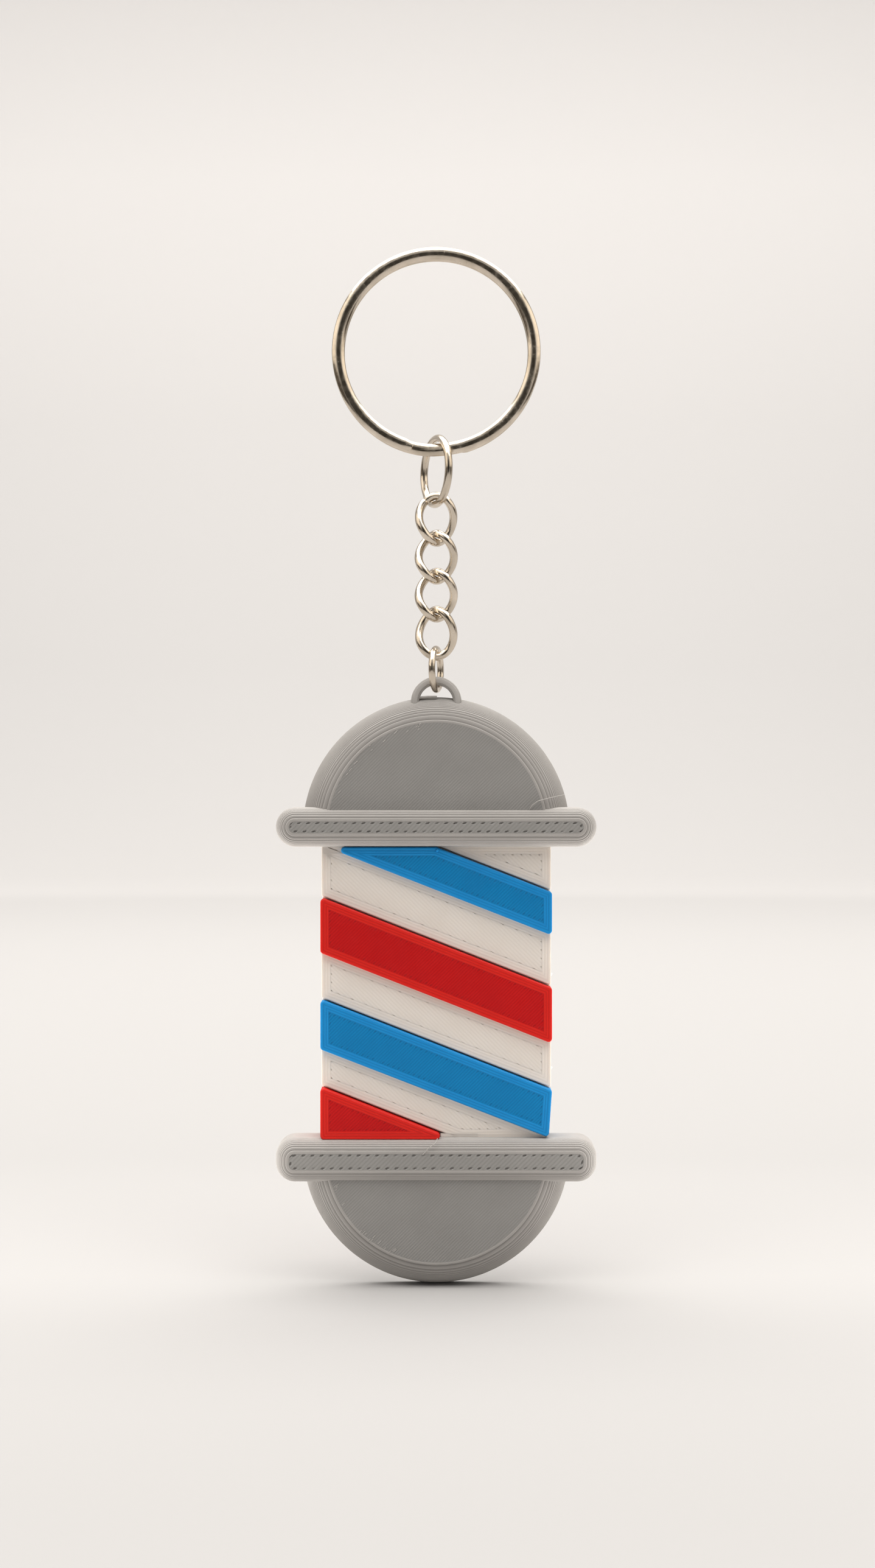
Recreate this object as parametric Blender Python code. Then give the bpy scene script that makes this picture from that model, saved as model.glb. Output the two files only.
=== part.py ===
"""Barber pole key tag: a flat printed pole on a short curb chain and a split ring.

X runs to the right, Y to the back and Z up. The tag hangs below its split ring, and the
origin is the ring's hanging point, at the inner side of the top of its wire.
"""

import math

import bmesh
import bpy
from mathutils import Vector

MM = 0.001

# Split ring: one flat wire coiled nearly twice round
RING_OUTER_DIAMETER = 30.2 * MM
RING_WIRE_RADIAL = 1.84 * MM
RING_WIRE_AXIAL = 0.92 * MM
RING_WIRE_EDGE_RADIUS = 0.42 * MM
RING_COIL_CLEARANCE = 0.08 * MM
RING_CUT_END = math.radians(14.2)  # from the lowest point towards -X
RING_CROSSOVER = math.radians(12.0)
RING_STEPS_PER_TURN = 60
RING_CROSSOVER_STEPS = 8

# Jump rings: round wire, each closed at a butt joint
TOP_LINK_OUTER_DIAMETER = 10.7 * MM
TOP_LINK_WIRE = 1.13 * MM
TOP_LINK_YAW = math.radians(22.0)  # from edge-on, with the +X strand in front
LOWER_RING_OUTER_DIAMETER = 7.0 * MM
LOWER_RING_WIRE = 1.0 * MM
LOWER_RING_YAW = math.radians(-12.0)
TOP_LINK_BUTT = math.radians(-70.0)  # from the highest point, towards -X
LOWER_RING_BUTT = math.radians(-115.0)
JUMP_RING_STEPS = 48

# Curb links: ovals twisted along their length
LINK_COUNT = 4
LINK_INNER_LENGTH = 5.55 * MM
LINK_OUTER_WIDTH = 6.35 * MM
LINK_WIRE = 1.25 * MM
LINK_END_TWIST = math.radians(45.0)
OUTER_END_TWIST = math.radians(18.0)  # where the chain's first and last links meet a jump ring
LINK_ON_OWN_WIRE = 3  # this link's pivot is its own top wire, the others' is the wire above
LINK_BUTT = math.radians(-38.0)
LINK_STEPS = 48
WIRE_SIDES_RESOLUTION = 3
BUTT_JOINT_GAP = 0.12 * MM

# How far a hanging piece sits clear of what it hangs on
WIRE_CLEARANCE = 0.05 * MM
TOP_LINK_CLEARANCE = 0.08 * MM  # the chain's first link on the top jump ring
RING_CLEARANCE = 0.22 * MM
LOOP_CLEARANCE = 0.22 * MM

# Hanging loop of the tag: a half ring on two short legs
LOOP_INNER_RADIUS = 2.46 * MM
LOOP_BAR = 1.2 * MM
LOOP_DEPTH = 2.5 * MM
LOOP_EDGE_RADIUS = 0.5 * MM
LOOP_CENTRE_BELOW_CREST = 0.76 * MM
LOOP_LEG = 2.4 * MM
LOOP_STEPS = 28

# Printed tag: depths are measured forwards from its flat back
BACK_BEHIND_CHAIN = 1.3 * MM
DOME_RADIUS = 19.4 * MM
DOME_DEPTH = 4.4 * MM
DOME_EDGE_RADIUS = 4.2 * MM
DOME_STEPS = 96
DOME_EDGE_STEPS = 8
WELD = 0.001 * MM
COLLAR_WIDTH = 46.1 * MM
COLLAR_DEPTH = 5.4 * MM
COLLAR_EDGE_RADIUS = 2.2 * MM
COLLAR_EDGE_STEPS = 5
UPPER_COLLAR_HEIGHT = 5.7 * MM
LOWER_COLLAR_HEIGHT = 6.35 * MM
LOWER_COLLAR_CORNER_RADIUS = 2.8 * MM
UPPER_DOME_CENTRE_BELOW_COLLAR = 0.6 * MM
LOWER_DOME_CENTRE_ABOVE_COLLAR = 1.0 * MM

# Pole between the collars: slanted bands that take turns in colour
POLE_LENGTH = 41.7 * MM
POLE_WIDTH = 33.0 * MM
POLE_DEPTH = 3.2 * MM
STRIPE_PROUD_FRONT = 0.8 * MM
STRIPE_PROUD_SIDE = 0.13 * MM
BAND_SLOPE = math.radians(21.4)
BAND_CORNER_RADIUS = 0.5 * MM
BAND_EDGE_RADIUS = 0.3 * MM
BAND_EDGE_STEPS = 2
CORNER_STEPS = 5
SECTION_CORNER_STEPS = 3
LONGEST_CORNER_SHARE = 0.48  # of a side that an arc at its end may take up
SEAM = 0.1 * MM
BLUE_STRIPE_UPPER_HEIGHT = 6.2 * MM  # heights are taken on the pole's centre line
RED_STRIPE_MIDDLE_HEIGHT = 8.0 * MM
RED_STRIPE_TOP_ABOVE_MIDDLE = 7.15 * MM
BLUE_STRIPE_LOWER_HEIGHT = 7.2 * MM
BLUE_STRIPE_TOP_ABOVE_BOTTOM = 13.35 * MM
RED_STRIPE_CORNER_HEIGHT = 0.8 * MM

SHARP_ANGLE = math.radians(35)

# Heights that follow from the stack of pieces
RING_INNER_RADIUS = RING_OUTER_DIAMETER / 2 - RING_WIRE_RADIAL
RING_CENTRE_Z = -RING_INNER_RADIUS
RING_LOW_WIRE_Z = RING_CENTRE_Z - RING_INNER_RADIUS - RING_WIRE_RADIAL / 2
TOP_LINK_RADIUS = (TOP_LINK_OUTER_DIAMETER - TOP_LINK_WIRE) / 2
TOP_LINK_Z = (
    RING_LOW_WIRE_Z + (RING_WIRE_RADIAL + TOP_LINK_WIRE) / 2 + RING_CLEARANCE - TOP_LINK_RADIUS
)
LINK_HALF_LENGTH = (LINK_INNER_LENGTH + LINK_WIRE) / 2
LINK_HALF_WIDTH = (LINK_OUTER_WIDTH - LINK_WIRE) / 2
LINK_PITCH = LINK_INNER_LENGTH - WIRE_CLEARANCE
FIRST_LINK_Z = (
    TOP_LINK_Z - TOP_LINK_RADIUS + (TOP_LINK_WIRE + LINK_WIRE) / 2 + TOP_LINK_CLEARANCE - LINK_HALF_LENGTH
)
LAST_LINK_Z = FIRST_LINK_Z - (LINK_COUNT - 1) * LINK_PITCH
LOWER_RING_RADIUS = (LOWER_RING_OUTER_DIAMETER - LOWER_RING_WIRE) / 2
LOWER_RING_Z = (
    LAST_LINK_Z - LINK_HALF_LENGTH + (LINK_WIRE + LOWER_RING_WIRE) / 2 + WIRE_CLEARANCE - LOWER_RING_RADIUS
)
LOOP_CENTRE_Z = (
    LOWER_RING_Z - LOWER_RING_RADIUS + LOWER_RING_WIRE / 2 + LOOP_CLEARANCE - LOOP_INNER_RADIUS
)
UPPER_DOME_Z = LOOP_CENTRE_Z + LOOP_CENTRE_BELOW_CREST - DOME_RADIUS
UPPER_COLLAR_Z = UPPER_DOME_Z + UPPER_DOME_CENTRE_BELOW_COLLAR
POLE_TOP_Z = UPPER_COLLAR_Z - UPPER_COLLAR_HEIGHT / 2
POLE_BOTTOM_Z = POLE_TOP_Z - POLE_LENGTH
LOWER_COLLAR_Z = POLE_BOTTOM_Z - LOWER_COLLAR_HEIGHT / 2
LOWER_DOME_Z = LOWER_COLLAR_Z + LOWER_DOME_CENTRE_ABOVE_COLLAR


def clear_scene():
    for old in list(bpy.data.objects):
        bpy.data.objects.remove(old)


def material(name, colour, roughness, metallic=0.0):
    """A Principled BSDF of one colour."""
    made = bpy.data.materials.new(name)
    made.use_nodes = True
    shader = made.node_tree.nodes["Principled BSDF"]
    shader.inputs["Base Color"].default_value = (*colour, 1.0)
    shader.inputs["Roughness"].default_value = roughness
    shader.inputs["Metallic"].default_value = metallic
    return made


def add_object(name, data, surface):
    made = bpy.data.objects.new(name, data)
    bpy.context.scene.collection.objects.link(made)
    data.materials.append(surface)
    return made


def hang(child, parent, pivot):
    """Places the child's origin at pivot, a world position, and parents it without turning it."""
    world = Vector(pivot)
    holder = parent
    while holder is not None:
        world = world - holder.location
        holder = holder.parent
    child.parent = parent
    child.location = world


def smooth(mesh):
    mesh.shade_smooth()
    mesh.set_sharp_from_angle(angle=SHARP_ANGLE)


# Wire and bar shapes


def poly_curve(name, points, closed=False):
    """A curve of straight steps through points."""
    curve = bpy.data.curves.new(name, "CURVE")
    curve.dimensions = "3D"
    spline = curve.splines.new("POLY")
    spline.points.add(len(points) - 1)
    for target, point in zip(spline.points, points):
        target.co = (*point, 1.0)
    spline.use_cyclic_u = closed
    return curve


def round_wire(name, points, wire, surface):
    """An open wire of round section with flat cut ends."""
    curve = poly_curve(name, points)
    curve.bevel_depth = wire / 2
    curve.bevel_resolution = WIRE_SIDES_RESOLUTION
    curve.use_fill_caps = True
    return add_object(name, curve, surface)


def rounded_section(name, width, height, edge_radius):
    """A helper curve: the outline of a bar's section, hidden from renders."""
    corners = [
        (-width / 2, height / 2),
        (width / 2, height / 2),
        (width / 2, -height / 2),
        (-width / 2, -height / 2),
    ]
    outline = [(x, y, 0.0) for x, y in round_corners(corners, edge_radius, SECTION_CORNER_STEPS)]
    helper = bpy.data.objects.new(name, poly_curve(name, outline, closed=True))
    bpy.context.scene.collection.objects.link(helper)
    helper.hide_render = True
    helper.display_type = "WIRE"
    return helper


def bar_along(name, points, section, surface):
    """A bar with the given section, bent along points that lie about its own XY plane."""
    curve = poly_curve(name, points)
    curve.twist_mode = "Z_UP"
    curve.bevel_mode = "OBJECT"
    curve.bevel_object = section
    curve.use_fill_caps = True
    made = add_object(name, curve, surface)
    made.rotation_euler = (math.radians(90), 0.0, 0.0)
    return made


# Flat outlines


def below_line(polygon, height, slope):
    """The part of a convex polygon under the line z = height - slope * x."""
    kept = []
    for (x0, z0), (x1, z1) in zip(polygon, polygon[1:] + polygon[:1]):
        above0 = z0 - (height - slope * x0)
        above1 = z1 - (height - slope * x1)
        if above0 <= 0:
            kept.append((x0, z0))
        if above0 * above1 < 0:
            share = above0 / (above0 - above1)
            kept.append((x0 + share * (x1 - x0), z0 + share * (z1 - z0)))
    return kept


def above_line(polygon, height, slope):
    mirrored = [(-x, -z) for x, z in polygon]
    return [(-x, -z) for x, z in below_line(mirrored, -height, slope)]


def without_short_sides(polygon, shortest):
    """The polygon with each side under the shortest length drawn together into one corner."""
    kept = list(polygon)
    index = 0
    while index < len(kept) and len(kept) > 3:
        following = (index + 1) % len(kept)
        here, there = Vector(kept[index]), Vector(kept[following])
        if (there - here).length < shortest:
            kept[index] = tuple((here + there) / 2)
            del kept[following]
            index = 0
        else:
            index += 1
    return kept


def round_corners(polygon, radius, steps):
    """The convex polygon with an arc at each corner, shortened where a side has no room for it."""
    rounded = []
    count = len(polygon)
    for index in range(count):
        corner = Vector(polygon[index])
        back = Vector(polygon[index - 1]) - corner
        on = Vector(polygon[(index + 1) % count]) - corner
        half_angle = back.angle(on) / 2
        room = LONGEST_CORNER_SHARE * min(back.length, on.length)
        reach = min(radius / math.tan(half_angle), room)
        arc_radius = reach * math.tan(half_angle)
        middle = corner + (back.normalized() + on.normalized()).normalized() * (
            arc_radius / math.sin(half_angle)
        )
        start = corner + back.normalized() * reach - middle
        end = corner + on.normalized() * reach - middle
        turn = start.angle_signed(end)
        for step in range(steps + 1):
            angle = -turn * step / steps
            turned = Vector(
                (
                    start.x * math.cos(angle) - start.y * math.sin(angle),
                    start.x * math.sin(angle) + start.y * math.cos(angle),
                )
            )
            rounded.append(tuple(middle + turned))
    return rounded


def slab(name, outline, depth, edge_radius, edge_steps, surface):
    """A plate from the tag's back forwards, with its front edge rounded."""
    mesh = bpy.data.meshes.new(name)
    work = bmesh.new()
    floor = [work.verts.new((x, BACK_BEHIND_CHAIN, z)) for x, z in outline]
    back = work.faces.new(floor)
    raised = bmesh.ops.extrude_face_region(work, geom=[back])["geom"]
    front_corners = [part for part in raised if isinstance(part, bmesh.types.BMVert)]
    bmesh.ops.translate(work, verts=front_corners, vec=(0.0, -depth, 0.0))
    front_edges = [
        edge for edge in work.edges if all(corner in front_corners for corner in edge.verts)
    ]
    bmesh.ops.bevel(
        work,
        geom=front_edges,
        offset=edge_radius,
        offset_type="OFFSET",
        segments=edge_steps,
        profile=0.5,
        affect="EDGES",
    )
    bmesh.ops.recalc_face_normals(work, faces=work.faces)
    work.to_mesh(mesh)
    work.free()
    smooth(mesh)
    return add_object(name, mesh, surface)


def dome_mesh(name, centre_z, cut_z, keep_above):
    """A disc with a rounded front edge, cut straight across at cut_z."""
    mesh = bpy.data.meshes.new(name)
    work = bmesh.new()
    front_y = BACK_BEHIND_CHAIN - DOME_DEPTH
    profile = [(0.0, front_y)]
    for step in range(DOME_EDGE_STEPS + 1):
        angle = math.radians(90) * step / DOME_EDGE_STEPS
        reach = DOME_RADIUS - DOME_EDGE_RADIUS + DOME_EDGE_RADIUS * math.sin(angle)
        profile.append((reach, front_y + DOME_EDGE_RADIUS * (1 - math.cos(angle))))
    profile += [(DOME_RADIUS, BACK_BEHIND_CHAIN), (0.0, BACK_BEHIND_CHAIN)]
    ring = [work.verts.new((x, y, centre_z)) for x, y in profile]
    edges = [work.edges.new(pair) for pair in zip(ring, ring[1:])]
    bmesh.ops.spin(
        work,
        geom=ring + edges,
        cent=(0.0, 0.0, centre_z),
        axis=(0.0, 1.0, 0.0),
        angle=math.radians(360),
        steps=DOME_STEPS,
        use_merge=True,
    )
    bmesh.ops.remove_doubles(work, verts=work.verts, dist=WELD)
    cut = bmesh.ops.bisect_plane(
        work,
        geom=work.verts[:] + work.edges[:] + work.faces[:],
        plane_co=(0.0, 0.0, cut_z),
        plane_no=(0.0, 0.0, -1.0 if keep_above else 1.0),
        clear_outer=True,
    )
    rim = [part for part in cut["geom_cut"] if isinstance(part, bmesh.types.BMEdge)]
    bmesh.ops.contextual_create(work, geom=rim)
    bmesh.ops.recalc_face_normals(work, faces=work.faces)
    work.to_mesh(mesh)
    work.free()
    smooth(mesh)
    return mesh


# Metal pieces


def make_split_ring(surface):
    """One flat wire: a turn in front, a crossover at its own cut end, and most of a turn behind."""
    centre_radius = RING_INNER_RADIUS + RING_WIRE_RADIAL / 2
    coil_offset = (RING_WIRE_AXIAL + RING_COIL_CLEARANCE) / 2
    whole_turn = math.radians(360)
    crossover_start = whole_turn - RING_CROSSOVER
    butt_angle = BUTT_JOINT_GAP / centre_radius
    end = whole_turn + crossover_start - butt_angle
    steps = math.ceil(RING_STEPS_PER_TURN * end / whole_turn)
    half_step = end / steps / 2
    angles = [end * step / steps for step in range(steps + 1)]
    outside = [a for a in angles if a < crossover_start - half_step or a > whole_turn + half_step]
    crossover = [
        crossover_start + RING_CROSSOVER * step / RING_CROSSOVER_STEPS
        for step in range(RING_CROSSOVER_STEPS + 1)
    ]
    points = []
    for angle in sorted(outside + crossover):
        share = min(max((angle - crossover_start) / RING_CROSSOVER, 0.0), 1.0)
        lift = coil_offset * math.cos(math.pi * share)
        around = RING_CUT_END + angle
        points.append((-centre_radius * math.sin(around), -centre_radius * math.cos(around), lift))
    section = rounded_section(
        "ring_section", RING_WIRE_RADIAL, RING_WIRE_AXIAL, RING_WIRE_EDGE_RADIUS
    )
    ring = bar_along("split_ring", points, section, surface)
    ring.location = (0.0, 0.0, RING_CENTRE_Z)
    return ring


def jump_ring_points(radius, yaw, centre_above_pivot, butt_from_top):
    """Points round a vertical ring, from one side of its butt joint to the other."""
    gap = BUTT_JOINT_GAP / radius
    across = Vector((math.sin(yaw), -math.cos(yaw), 0.0))
    points = []
    for step in range(JUMP_RING_STEPS + 1):
        angle = butt_from_top + gap / 2 + (math.radians(360) - gap) * step / JUMP_RING_STEPS
        point = across * (radius * math.sin(angle))
        point.z = radius * math.cos(angle) + centre_above_pivot
        points.append(point)
    return points


def curb_link_points(top_twist, bottom_twist, centre_above_pivot):
    """An oval whose two ends are turned about Z by their own twists, with its butt joint at the upper left."""
    gap = BUTT_JOINT_GAP / LINK_HALF_LENGTH
    points = []
    for step in range(LINK_STEPS + 1):
        angle = LINK_BUTT + gap / 2 + (math.radians(360) - gap) * step / LINK_STEPS
        height = math.cos(angle)
        reach = LINK_HALF_WIDTH * math.sin(angle)
        share = (1 + height) / 2
        twist = bottom_twist + (top_twist - bottom_twist) * share
        points.append(
            Vector(
                (
                    reach * math.cos(twist),
                    reach * math.sin(twist),
                    LINK_HALF_LENGTH * height + centre_above_pivot,
                )
            )
        )
    return points


def make_chain(ring, surface):
    """The jump rings and curb links, each with its origin on the wire that it hangs from."""
    pivot_z = RING_LOW_WIRE_Z
    top_link = round_wire(
        "top_jump_ring",
        jump_ring_points(TOP_LINK_RADIUS, TOP_LINK_YAW, TOP_LINK_Z - pivot_z, TOP_LINK_BUTT),
        TOP_LINK_WIRE,
        surface,
    )
    top_link.location = (0.0, 0.0, pivot_z)
    parent = top_link
    pivot_z = TOP_LINK_Z - TOP_LINK_RADIUS
    for index in range(LINK_COUNT):
        centre_z = FIRST_LINK_Z - index * LINK_PITCH
        top_twist = -OUTER_END_TWIST if index == 0 else -LINK_END_TWIST
        bottom_twist = OUTER_END_TWIST if index == LINK_COUNT - 1 else LINK_END_TWIST
        if index + 1 == LINK_ON_OWN_WIRE:
            pivot_z = centre_z + LINK_HALF_LENGTH
        link = round_wire(
            f"curb_link_{index + 1}",
            curb_link_points(top_twist, bottom_twist, centre_z - pivot_z),
            LINK_WIRE,
            surface,
        )
        hang(link, parent, (0.0, 0.0, pivot_z))
        parent = link
        pivot_z = centre_z - LINK_HALF_LENGTH
    lower_ring = round_wire(
        "lower_jump_ring",
        jump_ring_points(
            LOWER_RING_RADIUS, LOWER_RING_YAW, LOWER_RING_Z - pivot_z, LOWER_RING_BUTT
        ),
        LOWER_RING_WIRE,
        surface,
    )
    hang(lower_ring, parent, (0.0, 0.0, pivot_z))
    return lower_ring


# Printed pieces


def make_loop(surface):
    """The hanging loop, a helper that is joined to the upper dome."""
    radius = LOOP_INNER_RADIUS + LOOP_BAR / 2
    points = [(radius, -LOOP_LEG, 0.0)]
    for step in range(LOOP_STEPS + 1):
        angle = math.radians(180) * step / LOOP_STEPS
        points.append((radius * math.cos(angle), radius * math.sin(angle), 0.0))
    points.append((-radius, -LOOP_LEG, 0.0))
    section = rounded_section("loop_section", LOOP_BAR, LOOP_DEPTH, LOOP_EDGE_RADIUS)
    bent = bar_along("loop_bar", points, section, surface)
    bent.location = (0.0, 0.0, LOOP_CENTRE_Z)
    bpy.context.view_layer.update()
    graph = bpy.context.evaluated_depsgraph_get()
    mesh = bpy.data.meshes.new_from_object(bent.evaluated_get(graph))
    mesh.transform(bent.matrix_world)
    work = bmesh.new()
    work.from_mesh(mesh)
    bmesh.ops.remove_doubles(work, verts=work.verts, dist=WELD)
    bmesh.ops.recalc_face_normals(work, faces=work.faces)
    work.to_mesh(mesh)
    work.free()
    bpy.data.objects.remove(bent)
    loop = add_object("loop_shape", mesh, surface)
    loop.hide_render = True
    loop.display_type = "WIRE"
    return loop


def make_upper_dome(surface):
    cut_z = UPPER_COLLAR_Z + UPPER_COLLAR_HEIGHT / 2 + SEAM
    dome = add_object("upper_dome", dome_mesh("upper_dome", UPPER_DOME_Z, cut_z, True), surface)
    join = dome.modifiers.new("hanging_loop", "BOOLEAN")
    join.operation = "UNION"
    join.solver = "EXACT"
    join.object = make_loop(surface)
    return dome


def make_lower_dome(surface):
    cut_z = LOWER_COLLAR_Z - LOWER_COLLAR_HEIGHT / 2 - SEAM
    mesh = dome_mesh("lower_dome", LOWER_DOME_Z, cut_z, False)
    return add_object("lower_dome", mesh, surface)


def make_collar(name, centre_z, height, corner_radius, surface):
    corners = [
        (-COLLAR_WIDTH / 2, centre_z - height / 2),
        (COLLAR_WIDTH / 2, centre_z - height / 2),
        (COLLAR_WIDTH / 2, centre_z + height / 2),
        (-COLLAR_WIDTH / 2, centre_z + height / 2),
    ]
    outline = round_corners(corners, corner_radius, 2 * CORNER_STEPS)
    return slab(name, outline, COLLAR_DEPTH, COLLAR_EDGE_RADIUS, COLLAR_EDGE_STEPS, surface)


def band_outline(top_edge, bottom_edge, extra_side):
    """The pole's rectangle between two slanted edges, each given on the centre line."""
    slope = math.tan(BAND_SLOPE)
    seam_along_z = SEAM / 2 / math.cos(BAND_SLOPE)
    half = POLE_WIDTH / 2 + extra_side
    outline = [
        (-half, POLE_BOTTOM_Z + SEAM),
        (half, POLE_BOTTOM_Z + SEAM),
        (half, POLE_TOP_Z - SEAM),
        (-half, POLE_TOP_Z - SEAM),
    ]
    if top_edge is not None:
        outline = below_line(outline, POLE_TOP_Z - top_edge - seam_along_z, slope)
    if bottom_edge is not None:
        outline = above_line(outline, POLE_TOP_Z - bottom_edge + seam_along_z, slope)
    return outline


def make_pole(white, blue, red):
    """The coloured stripes and the white bands between them."""
    middle = POLE_LENGTH / 2
    stripes = [
        ("blue_stripe_upper", 0.0, BLUE_STRIPE_UPPER_HEIGHT, blue),
        (
            "red_stripe_middle",
            middle - RED_STRIPE_TOP_ABOVE_MIDDLE,
            RED_STRIPE_MIDDLE_HEIGHT,
            red,
        ),
        (
            "blue_stripe_lower",
            POLE_LENGTH - BLUE_STRIPE_TOP_ABOVE_BOTTOM,
            BLUE_STRIPE_LOWER_HEIGHT,
            blue,
        ),
        ("red_stripe_corner", POLE_LENGTH - RED_STRIPE_CORNER_HEIGHT, None, red),
    ]
    bands = []
    edge_above = None
    for index, (name, top, height, surface) in enumerate(stripes):
        bottom = None if height is None else top + height
        white_outline = band_outline(edge_above, top, 0.0)
        bands.append((f"white_band_{index + 1}", white_outline, POLE_DEPTH, white))
        stripe_outline = band_outline(top, bottom, STRIPE_PROUD_SIDE)
        bands.append((name, stripe_outline, POLE_DEPTH + STRIPE_PROUD_FRONT, surface))
        edge_above = bottom
    made = []
    for name, outline, depth, surface in bands:
        whole = without_short_sides(outline, 2 * BAND_CORNER_RADIUS)
        rounded = round_corners(whole, BAND_CORNER_RADIUS, CORNER_STEPS)
        made.append(slab(name, rounded, depth, BAND_EDGE_RADIUS, BAND_EDGE_STEPS, surface))
    return made


def make_tag(lower_ring, grey, white, blue, red):
    """The printed pieces, under an empty on the wire that the loop hangs from."""
    pieces = [
        make_upper_dome(grey),
        make_collar("upper_collar", UPPER_COLLAR_Z, UPPER_COLLAR_HEIGHT, UPPER_COLLAR_HEIGHT / 2, grey),
        *make_pole(white, blue, red),
        make_collar("lower_collar", LOWER_COLLAR_Z, LOWER_COLLAR_HEIGHT, LOWER_COLLAR_CORNER_RADIUS, grey),
        make_lower_dome(grey),
    ]
    pivot = Vector((0.0, 0.0, LOWER_RING_Z - LOWER_RING_RADIUS))
    holder = bpy.data.objects.new("tag_pivot", None)
    bpy.context.scene.collection.objects.link(holder)
    hang(holder, lower_ring, pivot)
    helper = bpy.data.objects["loop_shape"]
    for piece in [*pieces, helper]:
        piece.parent = holder
        piece.location = -pivot


def main():
    clear_scene()
    nickel = material("nickel_wire", (0.72, 0.68, 0.62), 0.18, metallic=1.0)
    grey = material("grey_plastic", (0.30, 0.28, 0.26), 0.55)
    white = material("white_plastic", (0.74, 0.70, 0.65), 0.5)
    blue = material("blue_plastic", (0.01, 0.18, 0.45), 0.45)
    red = material("red_plastic", (0.48, 0.012, 0.016), 0.45)
    ring = make_split_ring(nickel)
    lower_ring = make_chain(ring, nickel)
    make_tag(lower_ring, grey, white, blue, red)


main()
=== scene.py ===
"""Barber pole key tag: a layered four-colour print on a nickel chain and split ring."""

import math
import random

import bmesh
import bpy
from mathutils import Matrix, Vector


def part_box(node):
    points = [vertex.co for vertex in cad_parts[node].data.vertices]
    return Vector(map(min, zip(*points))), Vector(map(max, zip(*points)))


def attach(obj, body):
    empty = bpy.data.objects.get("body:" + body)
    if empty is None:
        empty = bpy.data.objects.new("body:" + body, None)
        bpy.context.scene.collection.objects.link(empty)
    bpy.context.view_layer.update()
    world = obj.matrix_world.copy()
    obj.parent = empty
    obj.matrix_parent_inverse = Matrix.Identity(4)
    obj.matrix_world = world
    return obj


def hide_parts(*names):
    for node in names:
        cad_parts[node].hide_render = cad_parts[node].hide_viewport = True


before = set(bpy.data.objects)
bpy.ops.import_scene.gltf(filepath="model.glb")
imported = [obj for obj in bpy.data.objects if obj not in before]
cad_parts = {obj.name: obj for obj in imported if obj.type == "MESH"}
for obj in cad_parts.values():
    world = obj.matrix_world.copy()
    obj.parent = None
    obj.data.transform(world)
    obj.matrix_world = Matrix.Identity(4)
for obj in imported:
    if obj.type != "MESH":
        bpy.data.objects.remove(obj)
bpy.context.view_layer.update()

MM = 0.001
FULL_TURN = math.radians(360)
QUARTER_TURN = math.radians(90)
rng = random.Random(7)

# Print settings
LAYER = 0.2 * MM
BACK_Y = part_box("upper_collar")[1].y
WALL_ROWS = 4  # points down each layer's rounded edge
RUNS = 4  # runs of points along each line that fills a face
EDGE_BULGE = 0.075 * MM
FACE_DROP = 0.2 * MM
WELD = 0.0005 * MM  # points closer than this become one
FACE_OVERLAP = 0.02 * MM  # how far the lines of a face run on under its perimeters
OUTLINE_STEP = 1.5 * MM  # longest step between the points of an outline
HIDDEN_OVERLAP = 0.3 * MM  # how far a white band runs on under its neighbours
GROOVE = 0.24 * MM  # open gap above each stripe
CORE_RECESS = 0.06 * MM  # how far a band's core lies inside its back
SLOPE = math.tan(math.radians(21.4))

# Metal
TOP_RING_YAW = math.radians(22.0)
LOWER_RING_YAW = math.radians(-12.0)
LINK_TWIST = math.radians(45.0)
OUTER_TWIST = math.radians(18.0)
RING_WIRE = 1.84 * MM


# Node tree helpers


class Value:
    """A node's output. Sums of values are written as usual, and each sign makes a Math node."""

    def __init__(self, socket):
        self.socket = socket
        self.tree = socket.id_data

    def __add__(self, other):
        return calc("ADD", self, other)

    def __sub__(self, other):
        return calc("SUBTRACT", self, other)

    def __rsub__(self, other):
        return calc("SUBTRACT", other, self)

    def __mul__(self, other):
        return calc("MULTIPLY", self, other)

    def __truediv__(self, other):
        return calc("DIVIDE", self, other)


def feed(value, socket):
    """Links a node's output to an input, or sets the input to a plain value."""
    if isinstance(value, Value):
        value.tree.links.new(value.socket, socket)
    else:
        socket.default_value = value


def node(tree, kind, inputs=None, output=0, **settings):
    """The output of a new node with its settings and its inputs, by name or place."""
    made = tree.nodes.new(kind)
    for key, value in settings.items():
        setattr(made, key, value)
    for key, value in (inputs or {}).items():
        feed(value, made.inputs[key])
    return Value(made.outputs[output])


def calc(operation, *values):
    """A Math node in the tree that its values come from."""
    tree = next(value.tree for value in values if isinstance(value, Value))
    return node(tree, "ShaderNodeMath", dict(enumerate(values)), operation=operation)


def pick(condition, when_true, when_false):
    """A number that depends on a condition of 0 or 1."""
    choices = {"Switch": condition, "False": when_false, "True": when_true}
    return node(condition.tree, "GeometryNodeSwitch", choices, input_type="FLOAT")


def ranged(value, low, high, to_low, to_high, **settings):
    sizes = dict(enumerate((value, low, high, to_low, to_high)))
    return node(value.tree, "ShaderNodeMapRange", sizes, **settings)


def vector(tree, x, y, z):
    return node(tree, "ShaderNodeCombineXYZ", {0: x, 1: y, 2: z})


def plus(first, second):
    return node(first.tree, "ShaderNodeVectorMath", {0: first, 1: second}, operation="ADD")


def scaled(direction, amount):
    inputs = {0: direction, "Scale": amount}
    return node(direction.tree, "ShaderNodeVectorMath", inputs, operation="SCALE")


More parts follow.
